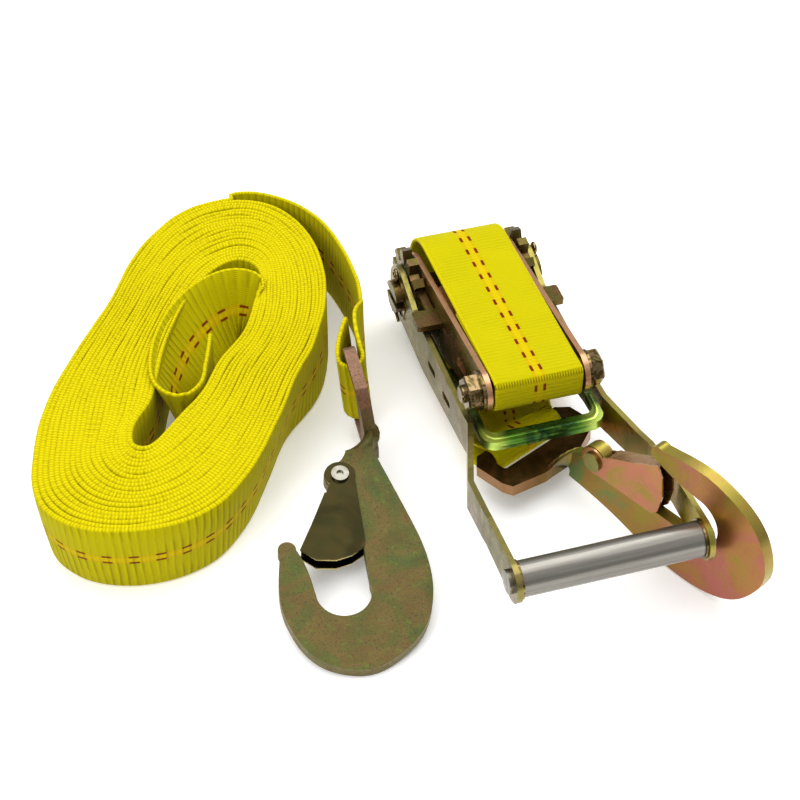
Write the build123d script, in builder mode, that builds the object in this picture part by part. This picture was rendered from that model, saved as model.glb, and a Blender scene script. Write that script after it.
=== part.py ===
"""Ratchet tie down: ratchet with short hooked strap, and a long coiled strap with its own hook.

Working frame: X across the ratchet, Y along it (drum at y = 0, grip toward -Y), Z up, floor at z = 0.
Every part is moved by ORIGIN when it is saved, so the whole object stands centred on the origin.
"""
from math import cos, sin, pi, radians
from build123d import *
import os

os.makedirs("parts", exist_ok=True)

# ---------------------------------------------------------------- driving dimensions
WEB_W = 50.0          # webbing width
WEB_T = 2.4           # webbing thickness
DRUM_Z = 31.5         # drum axis above the floor
SHAFT_R = 9.5         # the two half-moon shafts together
SLOT = 4.6            # gap between the shafts, where the webbing enters
CLEAR = 0.06          # running clearance on radius
BOLT_Y, BOLT_Z = -115.5, 55.0
BOLT_R = 5.0
SLEEVE_R = 8.2
BASE_IN, BASE_T = 26.0, 3.0
BASE_DRUM_R, BASE_BOLT_R = 22.5, 11.5
GEAR_IN, GEAR_T = 30.0, 5.6
GEAR_R, GEAR_ROOT, TEETH = 26.6, 19.4, 12
GEAR_PHASE = 145.0    # direction of one tooth gap, degrees from +Y toward +Z
HANDLE_IN, HANDLE_T = 36.5, 3.0
HANDLE_DRUM_R = 17.5
GRIP_X, GRIP_Y, GRIP_Z = -3.5, -242.0, 44.5
GRIP_IN = 49.3        # inner face of a handle plate at the grip
GRIP_R = 9.4
GRIP_END_R = 11.5
WRAP_R = 27.8         # inner radius of the strap round the drum end
TOP_Z = DRUM_Z + WRAP_R
COIL_H = 50.0
HOOK_T = 6.5          # hook plate thickness
RIVET_R = 3.5


ORIGIN = (99.18, 87.40, 0)


def save(shape, label):
    placed = Location(ORIGIN) * shape
    placed.label = label
    export_step(placed, f"parts/{label}.step")


def side_plane(x):
    """Sketch plane whose local x is world Y and local y is world Z."""
    return Plane(origin=(x, 0, 0), x_dir=(0, 1, 0), z_dir=(1, 0, 0))


SIDES = (("left", -1), ("right", 1))

# ---------------------------------------------------------------- ratchet base
for side, s in SIDES:
    with BuildPart() as base_plate:
        with BuildSketch(side_plane(s * (BASE_IN + BASE_T / 2))):
            with Locations((0, DRUM_Z)):
                Circle(BASE_DRUM_R)
            with Locations((BOLT_Y, BOLT_Z)):
                Circle(BASE_BOLT_R)
            make_hull()
        extrude(amount=BASE_T / 2, both=True)
        with BuildSketch(side_plane(s * (BASE_IN + BASE_T / 2))):
            with Locations((0, DRUM_Z)):
                Circle(SHAFT_R + CLEAR)
            with Locations((BOLT_Y, BOLT_Z)):
                Circle(BOLT_R)
            with Locations((-44.2, 44.75)):
                Rectangle(21.6, 3.9)
            with Locations((-82, 44)):
                SlotOverall(16, 7, rotation=-10)
        extrude(amount=BASE_T, both=True, mode=Mode.SUBTRACT)
    save(base_plate.part, f"base_plate_{side}")

with BuildPart() as base_cross_plate:
    with BuildSketch(Plane.XY.offset(53.6)):
        with Locations((0, -53)):
            RectangleRounded(2 * BASE_IN, 50, 3)
        with Locations((0, -64)):
            SlotOverall(22, 8, mode=Mode.SUBTRACT)
    extrude(amount=3)
save(base_cross_plate.part, "base_cross_plate")

with BuildPart() as pawl_spring_seat:
    with BuildSketch(Plane(origin=(0, -70, 0), x_dir=(1, 0, 0), z_dir=(0, -1, 0))):
        with Locations((0, 46.8)):
            RectangleRounded(18, 13.6, 2)
    extrude(amount=2.2)
save(pawl_spring_seat.part, "pawl_spring_seat")

with BuildPart() as base_bolt:
    with BuildSketch(Plane.YZ.offset(-41)):
        with Locations((BOLT_Y, BOLT_Z)):
            Circle(BOLT_R)
    extrude(amount=76)
    with BuildSketch(Plane.YZ.offset(30.8)):
        with Locations((BOLT_Y, BOLT_Z)):
            RegularPolygon(8.6, 6, major_radius=False)
    extrude(amount=7.2)
    chamfer(base_bolt.faces().sort_by(Axis.X)[-1].edges(), 1.0)
    chamfer(base_bolt.faces().sort_by(Axis.X)[0].edges(), 0.8)
save(base_bolt.part, "base_bolt")

with BuildPart() as bolt_nut:
    with BuildSketch(Plane.YZ.offset(-38.6)):
        with Locations((BOLT_Y, BOLT_Z)):
            RegularPolygon(8.6, 6, major_radius=False, rotation=12)
            Circle(BOLT_R, mode=Mode.SUBTRACT)
    extrude(amount=7.8)
    chamfer(bolt_nut.faces().sort_by(Axis.X)[0].outer_wire().edges(), 0.9)
save(bolt_nut.part, "bolt_nut")

for side, s in SIDES:
    with BuildPart() as bolt_washer:
        with BuildSketch(Plane.YZ.offset(s * 29.9)):
            with Locations((BOLT_Y, BOLT_Z)):
                Circle(11)
                Circle(BOLT_R, mode=Mode.SUBTRACT)
        extrude(amount=0.9, both=True)
    save(bolt_washer.part, f"bolt_washer_{side}")

with BuildPart() as bolt_sleeve:
    with BuildSketch(Plane.YZ.offset(-BASE_IN)):
        with Locations((BOLT_Y, BOLT_Z)):
            Circle(SLEEVE_R)
            Circle(BOLT_R, mode=Mode.SUBTRACT)
    extrude(amount=2 * BASE_IN)
save(bolt_sleeve.part, "bolt_sleeve")

# short strap: run over the back of the base with a sewn loop round the sleeve
r1, r2 = SLEEVE_R + 0.1, SLEEVE_R + 0.1 + WEB_T


def run_z(y):
    """Underside of the upper run between the drum end and the bolt loop."""
    return TOP_Z + (BOLT_Z + r1 - TOP_Z) * y / BOLT_Y


with BuildPart() as short_strap_top:
    with BuildSketch(Plane.YZ.offset(-WEB_W / 2)):
        with BuildLine():
            Line((0, TOP_Z + WEB_T), (BOLT_Y, BOLT_Z + r2))
            ThreePointArc((BOLT_Y, BOLT_Z + r2), (BOLT_Y - r2, BOLT_Z), (BOLT_Y, BOLT_Z - r2))
            Polyline((BOLT_Y, BOLT_Z - r2), (BOLT_Y + 8, BOLT_Z - r2 + 2.2), (BOLT_Y + 26, run_z(BOLT_Y + 26) - WEB_T),
                     (-58, run_z(-58) - WEB_T), (-58, run_z(-58)), (0, TOP_Z), (0, TOP_Z + WEB_T))
        make_face()
        with Locations((BOLT_Y, BOLT_Z)):
            Circle(r1, mode=Mode.SUBTRACT)
        with BuildLine():
            Polyline((BOLT_Y, BOLT_Z + r1 - 0.02), (BOLT_Y, BOLT_Z - r1 + 0.02), (BOLT_Y + 7, BOLT_Z - r1 + 2.6),
                     (BOLT_Y + 22, run_z(BOLT_Y + 22) - 0.9), close=True)
        make_face(mode=Mode.SUBTRACT)
    extrude(amount=WEB_W)
save(short_strap_top.part, "short_strap_top")

with BuildPart() as short_strap_wrap:
    with BuildSketch(Plane.YZ.offset(-WEB_W / 2)):
        with Locations((0, DRUM_Z)):
            Circle(WRAP_R + WEB_T)
            Circle(WRAP_R, mode=Mode.SUBTRACT)
        with Locations((-50, DRUM_Z)):
            Rectangle(100, 100, mode=Mode.SUBTRACT)
    extrude(amount=WEB_W)
save(short_strap_wrap.part, "short_strap_wrap")

# ---------------------------------------------------------------- base pawl
with BuildPart() as base_pawl:
    with BuildSketch(Plane.XY.offset(43)):
        with Locations((0, -41)):
            RectangleRounded(86, 13.6, 1.5)
        for s in (-1, 1):
            with Locations((s * 32.1, -27.5)):
                Rectangle(4.4, 19)
        with Locations((0, -33)):
            Rectangle(20, 4, mode=Mode.SUBTRACT)
    extrude(amount=3.5)
save(base_pawl.part, "base_pawl")

with BuildPart() as base_pawl_spring:
    with BuildLine() as pawl_wire:
        Helix(pitch=3.0, height=20.4, radius=3.6, center=(0, -48.8, 44.75), direction=(0, -1, 0))
    with BuildSketch(Plane(origin=pawl_wire.line @ 0, z_dir=pawl_wire.line % 0)):
        Circle(0.65)
    sweep()
save(base_pawl_spring.part, "base_pawl_spring")

# ---------------------------------------------------------------- drum
for name, s in (("upper", 1), ("lower", -1)):
    with BuildPart() as mandrel:
        with BuildSketch(Plane.YZ.offset(-44)):
            with Locations((0, DRUM_Z)):
                Circle(SHAFT_R)
            with Locations((0, DRUM_Z - s * (SHAFT_R - SLOT / 2))):
                Rectangle(3 * SHAFT_R, 2 * SHAFT_R, mode=Mode.SUBTRACT)
        extrude(amount=88)
        with Locations((-41.5, 0, DRUM_Z), (41.5, 0, DRUM_Z)):
            Cylinder(1.35, 40, mode=Mode.SUBTRACT)
    save(mandrel.part, f"mandrel_{name}")


def polar(r, deg):
    return (r * cos(radians(deg)), DRUM_Z + r * sin(radians(deg)))


for side, s in SIDES:
    with BuildPart() as gear:
        with BuildSketch(side_plane(s * (GEAR_IN + GEAR_T / 2))):
            with BuildLine():
                pts = []
                for k in range(TEETH):
                    a = GEAR_PHASE + 360 / TEETH * k
                    pts += [polar(GEAR_ROOT, a - 5.5), polar(GEAR_ROOT, a + 5.5), polar(GEAR_R, a + 9.5),
                            polar(GEAR_R, a + 20.5)]
                Polyline(*pts, close=True)
            make_face()
            with Locations((0, DRUM_Z)):
                Circle(SHAFT_R, mode=Mode.SUBTRACT)
        extrude(amount=GEAR_T / 2, both=True)
    save(gear.part, f"gear_{side}")
    with BuildPart() as drum_washer:
        with BuildSketch(side_plane(s * 39.82)):
            with Locations((0, DRUM_Z)):
                Circle(12.5)
                Circle(SHAFT_R, mode=Mode.SUBTRACT)
        extrude(amount=0.3, both=True)
    save(drum_washer.part, f"drum_washer_{side}")
    with BuildPart() as cotter:
        with Locations((s * 41.5, 0, DRUM_Z + 1.0)):
            Cylinder(1.3, 27)
        with Locations(Location((s * 41.5, 0, DRUM_Z + 15.6), (0, 90, 0))):
            Torus(2.4, 1.2)
        for t in (-1, 1):
            with Locations(Location((s * 41.5, t * 2.4, DRUM_Z - 13.4), (t * 62, 0, 0))):
                Cylinder(0.9, 7)
    save(cotter.part, f"cotter_{side}")

# ---------------------------------------------------------------- handle
for side, s in SIDES:
    with BuildPart() as handle_plate:
        with BuildSketch(Plane.XY.offset(-5)):
            with BuildLine():
                a, b, t = HANDLE_IN, GRIP_IN + s * GRIP_X, HANDLE_T
                Polyline((s * a, 30), (s * a, -126), (s * (b - 1.2), -172), (s * b, -200), (s * b, -270),
                         (s * (b + t), -270), (s * (b + t), -199), (s * (b - 1.2 + t), -170.8),
                         (s * (a + t), -124.8), (s * (a + t), 30), close=True)
            make_face()
        extrude(amount=120)
        fillet(handle_plate.edges().filter_by(Axis.Z).filter_by_position(Axis.Y, -180, -120), 6)
        with BuildSketch(side_plane(s * 45)) as profile:
            with Locations((0, DRUM_Z)):
                Circle(HANDLE_DRUM_R)
            with Locations((GRIP_Y, GRIP_Z)):
                Circle(GRIP_END_R)
            with BuildLine():
                Polyline((-5, DRUM_Z - 16.7), (-45, 12), (-113, 18), (-165, 26), (-205, 34.2), (-230, 34.4),
                         (GRIP_Y, GRIP_Z - GRIP_END_R), (GRIP_Y, GRIP_Z + GRIP_END_R), (-205, 53),
                         (-160, 45), (-113, 41), (-45, 40.2), (-26, 40.8), (-8, DRUM_Z + 15.5), close=True)
            make_face()
        extrude(amount=40, both=True, mode=Mode.INTERSECT)
        with BuildSketch(side_plane(s * 45)):
            with Locations((0, DRUM_Z)):
                Circle(SHAFT_R + CLEAR)
            with Locations((GRIP_Y, GRIP_Z)):
                Circle(4.0)
            with Locations((-62, 27), (-88, 27)):
                SlotOverall(13, 4.4, rotation=-4)
        extrude(amount=40, both=True, mode=Mode.SUBTRACT)
    save(handle_plate.part, f"handle_plate_{side}")

with BuildPart() as handle_web:
    with BuildSketch(Plane.XY.offset(10.6)):
        with Locations((0, -67)):
            RectangleRounded(2 * HANDLE_IN, 34, 4)
        with Locations((0, -64)):
            SlotOverall(34, 11, mode=Mode.SUBTRACT)
    extrude(amount=3)
save(handle_web.part, "handle_web")

with BuildPart() as grip_rod:
    with BuildSketch(Plane.YZ.offset(GRIP_X - (GRIP_IN + HANDLE_T + 2.2))):
        with Locations((GRIP_Y, GRIP_Z)):
            Circle(4.0)
    extrude(amount=2 * (GRIP_IN + HANDLE_T + 2.2))
    for s in (-1, 1):
        with BuildSketch(side_plane(GRIP_X + s * (GRIP_IN + HANDLE_T + 1.1))):
            with Locations((GRIP_Y, GRIP_Z)):
                Circle(6.4)
        extrude(amount=1.1, both=True)
save(grip_rod.part, "grip_rod")

for side, s in SIDES:
    with BuildPart() as grip_washer:
        with BuildSketch(side_plane(GRIP_X + s * (GRIP_IN - 0.7))):
            with Locations((GRIP_Y, GRIP_Z)):
                Circle(10.4)
                Circle(4.0, mode=Mode.SUBTRACT)
        extrude(amount=0.7, both=True)
    save(grip_washer.part, f"grip_washer_{side}")

with BuildPart() as grip_tube:
    with BuildSketch(Plane.YZ.offset(GRIP_X - (GRIP_IN - 1.5))):
        with Locations((GRIP_Y, GRIP_Z)):
            Circle(GRIP_R)
            Circle(4.0 + CLEAR, mode=Mode.SUBTRACT)
    extrude(amount=2 * (GRIP_IN - 1.5))
save(grip_tube.part, "grip_tube")

# ---------------------------------------------------------------- release slider
with BuildPart() as release_slider:
    for s in (-1, 1):
        with BuildSketch(side_plane(s * 32.2)):
            with BuildLine():
                Polyline((-27.2, 20.3), (-33, 19.2), (-62, 19.2), (-116, 31.5), (-130, 32.6), (-130, 38.2),
                         (-116, 38.2), (-62, 26.0), (-33, 25.2), (-27.2, 23.4), close=True)
            make_face()
        extrude(amount=2.2, both=True)
    with BuildSketch(Plane.XY.offset(32.6)):
        with Locations((0, -131)):
            RectangleRounded(68.8, 18, 8)
        with Locations((0, -125)):
            RectangleRounded(60, 14, 5, mode=Mode.SUBTRACT)
    extrude(amount=5.6)
    with BuildSketch(Plane.XY.offset(19.2)):
        with Locations((0, -64)):
            Rectangle(64.4, 8)
    extrude(amount=3.2)
save(release_slider.part, "release_slider")

with BuildPart() as slider_spring:
    with BuildLine() as slider_wire:
        Helix(pitch=2.6, height=10.6, radius=3.2, center=(0, -69.0, 20.8), direction=(0, -1, 0))
    with BuildSketch(Plane(origin=slider_wire.line @ 0, z_dir=slider_wire.line % 0)):
        Circle(0.6)
    sweep()
save(slider_spring.part, "slider_spring")

with BuildPart() as slider_spring_seat:
    with BuildSketch(Plane(origin=(0, -81.0, 0), x_dir=(1, 0, 0), z_dir=(0, -1, 0))):
        with Locations((0, 19.8)):
            RectangleRounded(16, 12.4, 2)
    extrude(amount=2.2)
save(slider_spring_seat.part, "slider_spring_seat")

# ---------------------------------------------------------------- hooks
# local hook frame: u from the neck to the bowl, v from the back edge to the nose, w along the rivet
HOOK_OUTER = ((65, -1.4), (81, -0.6), (94, 2.6), (110, 11.8), (120.6, 26.3), (125.5, 41.8), (123.3, 53.5),
              (116.3, 65.3), (104, 73.6), (91, 77.3), (78, 78.3), (65, 76.4), (50, 72.6))
HOOK_INNER = ((49, 63.6), (56, 61.7), (71, 60), (84, 58.4), (90.4, 53.8), (93, 45.5), (90, 37.2), (82, 32.4),
              (74.6, 31), (67, 30.3))
LOOP_R = 5.5          # inside radius of the webbing loops round the ring bars
BOWL_U, BOWL_V, BOWL_R = 78.8, 45.5, 14.3
RIVET_U, RIVET_V = 8.5, 31.0
NECK_LOW = {"right": 6.0, "left": 9.6}
RING_IN = 26.2
RING_FAR = {"right": -49.0, "left": -57.0}
WINDOW_NEAR = {"right": -30.4, "left": -27.0}
# ring outline in its own plane from the neck round to the neck again: along u, across
RING_OUT = {"right": ((-21, -27), (-27, -33.5), (-43, -33.5), (-49, -27.5), (-49, 31.5), (-43, 37.5), (-23, 37.5),
                      (-17, 35.4), (-12.6, 15)),
            "left": ((-17, -24.5), (-24, -32.5), (-51, -32.5), (-57, -26.5), (-57, 26.5), (-51, 32.5), (-24, 32.5),
                     (-17, 24.5))}
RING_SHIFT = {"right": 2.0, "left": 0.0}


def unit(v):
    return Vector(*v).normalized()


yaw, dip = radians(25.0), radians(4.5)
RIGHT_U = unit((sin(yaw) * cos(dip), -cos(yaw) * cos(dip), -sin(dip)))
RIGHT_V = unit((sin(yaw) * sin(dip), -cos(yaw) * sin(dip), cos(dip)))
RIGHT_O = Vector(15.4, -155.5, 7.4)
pitch, turn = radians(11.0), radians(2.5)
LEFT_U = unit((-sin(turn) * cos(pitch), -cos(turn) * cos(pitch), -sin(pitch)))
LEFT_V = unit((-cos(turn), sin(turn), 0))
LEFT_O = Vector(-80.5, -123, 27.5)
TWIST = {"right": 90.0, "left": 97.0}
GATE_TIP = {"right": ((55, 32), (56.3, 44), (54, 56)), "left": ((55.5, 29.5), (59, 36.5), (60.2, 45), (57.8, 55))}
HEAD_R = {"right": 5.6, "left": 4.7}
RING_V = {"right": 8.0, "left": 8.5}
RING_DIP = {"right": 10.0, "left": 0.0}

for side, o, u, v in (("right", RIGHT_O, RIGHT_U, RIGHT_V), ("left", LEFT_O, LEFT_U, LEFT_V)):
    blade = Plane(origin=o, x_dir=u, z_dir=u.cross(v))
    w = u.cross(v)
    tw = radians(TWIST[side])
    across = v * cos(tw) + w * sin(tw)
    rd = radians(RING_DIP[side])
    ring_u = u * cos(rd) + v * sin(rd)
    ring_o = o + v * RING_V[side] - u * 13 + ring_u * 13
    ring = Plane(origin=ring_o, x_dir=ring_u, z_dir=ring_u.cross(across))
    with BuildPart() as hook:
        with BuildSketch(blade):
            with BuildLine():
                Spline((-7, NECK_LOW[side]), (6, NECK_LOW[side] * 0.6 + 2.2), (28, 3.9), (48, 0.4), (65, -1.4), tangents=((1, 0), (1, -0.05)))
                Spline(*HOOK_OUTER, tangents=((1, -0.02), (-1, -0.25)))
                ThreePointArc((50, 72.6), (43.2, 67.4), (49, 63.6))
                Spline(*HOOK_INNER, tangents=((1, -0.3), (-1, -0.06)))
                Polyline((67, 30.3), (24, 26.6), (16.4, 27.6))
                ThreePointArc((16.4, 27.6), (8.5, 39.6), (-0.1, 31))
                Spline((-0.1, 31), (-2.6, 27), (-7, 24.4), tangents=((-0.1, -1), (-1, -0.3)))
                Line((-7, 24.4), (-7, NECK_LOW[side]))
            make_face()
            with Locations((RIVET_U, RIVET_V)):
                Circle(RIVET_R + CLEAR, mode=Mode.SUBTRACT)
            with Locations((BOWL_U, BOWL_V)):
                Circle(BOWL_R, mode=Mode.SUBTRACT)
        extrude(amount=HOOK_T / 2, both=True)
        for k in range(6):
            a = tw * k / 5
            mid_v, wide = (24.4 + NECK_LOW[side]) / 2, 24.4 - NECK_LOW[side]
            sec = Plane(origin=o + u * (-7 - 9 * k / 5) + v * (mid_v + (RING_V[side] - mid_v) * k / 5),
                        x_dir=v * cos(a) + w * sin(a), z_dir=u * -1)
            with BuildSketch(sec):
                Rectangle(wide + (21.8 - wide) * k / 5, HOOK_T - 0.2)
        loft(ruled=True)
        with BuildSketch(ring):
            with BuildLine():
                Polyline((-13, -10), *RING_OUT[side], (-13, 10), close=True)
            make_face()
            with Locations(((RING_FAR[side] + 8.4 + WINDOW_NEAR[side]) / 2, RING_SHIFT[side])):
                RectangleRounded(WINDOW_NEAR[side] - RING_FAR[side] - 8.4, 2 * RING_IN, 1.5, mode=Mode.SUBTRACT)
        extrude(amount=HOOK_T / 2, both=True)
    save(hook.part, f"hook_{side}")

    with BuildPart() as gate:
        for t in (-1, 1):
            with BuildSketch(blade.offset(t * (HOOK_T / 2 + 0.75))):
                with BuildLine():
                    Polyline((RIVET_U + 2, RIVET_V - 7.4), (51.5, 27.6), *GATE_TIP[side],
                             (50.2, 62.0), (RIVET_U + 4.4, RIVET_V + 6.4), close=True)
                make_face()
                with Locations((RIVET_U, RIVET_V)):
                    Circle(8.2)
                    Circle(RIVET_R + CLEAR, mode=Mode.SUBTRACT)
            extrude(amount=0.5, both=True)
        with BuildSketch(blade):
            with BuildLine():
                Polyline((19, 39.8), (49, 58.2), (50.2, 61.4), (17.8, 41.4), close=True)
            make_face()
        extrude(amount=HOOK_T / 2 + 1.25, both=True)
    save(gate.part, f"gate_{side}")

    with BuildPart() as gate_rivet:
        with BuildSketch(blade):
            with Locations((RIVET_U, RIVET_V)):
                Circle(RIVET_R)
        extrude(amount=HOOK_T / 2 + 2.6, both=True)
        for t in (-1, 1):
            with BuildSketch(blade.offset(t * (HOOK_T / 2 + 2.1))):
                with Locations((RIVET_U, RIVET_V)):
                    Circle(HEAD_R[side])
            extrude(amount=0.8, both=True)
        if side == "left":
            for t in (-1, 1):
                with BuildSketch(blade.offset(t * (HOOK_T / 2 + 2.4))):
                    with Locations((RIVET_U, RIVET_V)):
                        Circle(1.9)
                extrude(amount=0.9, both=True, mode=Mode.SUBTRACT)
    save(gate_rivet.part, f"gate_rivet_{side}")

# ---------------------------------------------------------------- lower run of the short strap
rd = radians(RING_DIP["right"])
right_ring_u = RIGHT_U * cos(rd) + RIGHT_V * sin(rd)
bar_dir = RIGHT_U.cross(RIGHT_V) * -1
bar = (RIGHT_O + RIGHT_V * RING_V["right"] - RIGHT_U * 13 + right_ring_u * (RING_FAR["right"] + 4.2 + 13)
       - bar_dir * RING_SHIFT["right"])
with BuildPart() as short_strap_lower:
    lo, hi = 1.3, 1.3 + WEB_T
    z_loop = bar.Z - LOOP_R - WEB_T
    for k, (c, d, z) in enumerate((((0, -12.1), (1, 0), lo), ((0, -30), (1, 0), lo),
                                   ((0, -84), (1, 0.05), lo + 1.4),
                                   ((bar.X, bar.Y), (bar_dir.X, bar_dir.Y), z_loop))):
        pl = Plane(origin=(c[0], c[1], z + WEB_T / 2), x_dir=(d[0], d[1], 0), z_dir=(d[1], -d[0], 0))
        with BuildSketch(pl):
            Rectangle(WEB_W, WEB_T)
    loft(ruled=True)
    with BuildSketch(Plane(origin=bar - bar_dir * (WEB_W / 2), x_dir=right_ring_u * -1, z_dir=bar_dir)):
        Circle(LOOP_R + WEB_T)
        Circle(LOOP_R, mode=Mode.SUBTRACT)
    extrude(amount=WEB_W)
save(short_strap_lower.part, "short_strap_lower")

# ---------------------------------------------------------------- long strap
COIL_OUT = ((-271, -116), (-262, -142), (-240, -157), (-210, -162), (-182, -154), (-158, -133), (-138, -105),
            (-118, -72), (-99, -44), (-84, -12), (-77, 22), (-79, 56), (-92, 83), (-114, 95), (-141, 92),
            (-165, 76), (-185, 52), (-204, 21), (-224, -7), (-245, -38), (-261, -72))
COIL_HOLE = ((-215, -92), (-210, -76), (-197, -61), (-189, -40), (-181, -16), (-167, 9), (-146, 33),
             (-126, 40), (-116, 27), (-124, 2), (-138, -24), (-156, -42), (-170, -62), (-187, -80), (-205, -97))
with BuildPart() as long_strap_coil:
    with BuildSketch():
        with BuildLine():
            Spline(*COIL_OUT, periodic=True)
        make_face()
        with BuildLine():
            Spline(*COIL_HOLE, periodic=True)
        make_face(mode=Mode.SUBTRACT)
    extrude(amount=COIL_H)
save(long_strap_coil.part, "long_strap_coil")

left_bar = LEFT_O + LEFT_V * RING_V["left"] + LEFT_U * (RING_FAR["left"] + 4.2)
tw = radians(TWIST["left"])
left_up = (LEFT_V * cos(tw) + LEFT_U.cross(LEFT_V) * sin(tw)) * -1     # along the ring bar, upward
left_side = LEFT_U.cross(left_up).normalized()                         # across the ring plane
if left_side.X < 0:
    left_side = left_side * -1
side_off = LOOP_R + WEB_T / 2
TAIL = ((-114, 97.4, 0), (-97.5, 93, 0), (-81, 78.5, 0), (-69.5, 57, 0), (-64.5, 27, 0), (-64.5, -4, 0.15),
        (-69.5, -28, 0.5))
with BuildPart() as long_strap_tail:
    ends = [Vector(x, y, COIL_H / 2 + 7 * k) for x, y, k in TAIL]
    ends += [left_bar - LEFT_U * 20 + left_side * (side_off + 1.5), left_bar + left_side * side_off]
    ups = [Vector(0, 0, 1) * (1 - k) + left_up * k for x, y, k in TAIL] + [left_up, left_up]
    for k, (p, up) in enumerate(zip(ends, ups)):
        d = (ends[min(k + 1, len(ends) - 1)] - ends[max(k - 1, 0)])
        n = d.cross(up).normalized()
        with BuildSketch(Plane(origin=p, x_dir=n, z_dir=n.cross(up.normalized()))):
            Rectangle(WEB_T, WEB_W)
    loft(ruled=True)
    with BuildSketch(Plane(origin=left_bar - left_up * (WEB_W / 2), x_dir=LEFT_U, z_dir=left_up)):
        Circle(LOOP_R + WEB_T)
        Circle(LOOP_R, mode=Mode.SUBTRACT)
    extrude(amount=WEB_W)
    for p in (left_bar - left_side * side_off, left_bar - LEFT_U * 26 + left_side * 4):
        with BuildSketch(Plane(origin=p, x_dir=left_side, z_dir=left_side.cross(left_up))):
            Rectangle(WEB_T, WEB_W)
    loft(ruled=True)
save(long_strap_tail.part, "long_strap_tail")

INNER_END = ((-125, 32), (-139, 13), (-150, -6), (-163, -27), (-177, -48), (-191, -66), (-202, -80))
with BuildPart() as long_strap_inner_end:
    with BuildSketch(Plane.XY.offset(2)):
        with BuildLine() as inner_path:
            Spline(*INNER_END)
        trace(inner_path.line, line_width=WEB_T)
    extrude(amount=46)
save(long_strap_inner_end.part, "long_strap_inner_end")
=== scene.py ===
"""Ratchet tie down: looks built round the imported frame.

Route points are in the part's working frame (mm, drum at y = 0, floor at z = 0);
W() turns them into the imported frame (m).
"""
import bpy, math
import numpy as np
from mathutils import Vector, Matrix, noise


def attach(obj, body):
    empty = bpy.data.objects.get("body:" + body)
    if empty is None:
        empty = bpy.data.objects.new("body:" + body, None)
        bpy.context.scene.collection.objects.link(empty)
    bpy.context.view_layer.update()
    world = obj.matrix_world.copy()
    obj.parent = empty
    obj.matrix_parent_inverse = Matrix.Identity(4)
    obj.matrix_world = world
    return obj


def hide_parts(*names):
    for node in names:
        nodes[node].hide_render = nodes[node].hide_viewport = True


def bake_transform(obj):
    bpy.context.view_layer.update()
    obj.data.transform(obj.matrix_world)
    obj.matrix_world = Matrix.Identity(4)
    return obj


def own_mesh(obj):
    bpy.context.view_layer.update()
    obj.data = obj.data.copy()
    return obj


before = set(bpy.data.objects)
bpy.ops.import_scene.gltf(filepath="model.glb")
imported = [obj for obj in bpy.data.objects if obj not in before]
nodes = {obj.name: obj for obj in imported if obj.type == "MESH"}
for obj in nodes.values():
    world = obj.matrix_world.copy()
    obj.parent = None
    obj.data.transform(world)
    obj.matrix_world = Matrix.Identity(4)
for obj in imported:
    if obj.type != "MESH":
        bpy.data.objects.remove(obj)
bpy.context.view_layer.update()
scene = bpy.context.scene
ORIGIN = Vector((99.18, 87.40, 0.0))
X = Vector((1, 0, 0))
Z = Vector((0, 0, 1))


def W(p):
    return (Vector(p) + ORIGIN) / 1000.0


def unit(*v):
    return Vector(v).normalized()


def smooth(t):
    t = min(max(t, 0.0), 1.0)
    return t * t * (3 - 2 * t)


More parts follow.
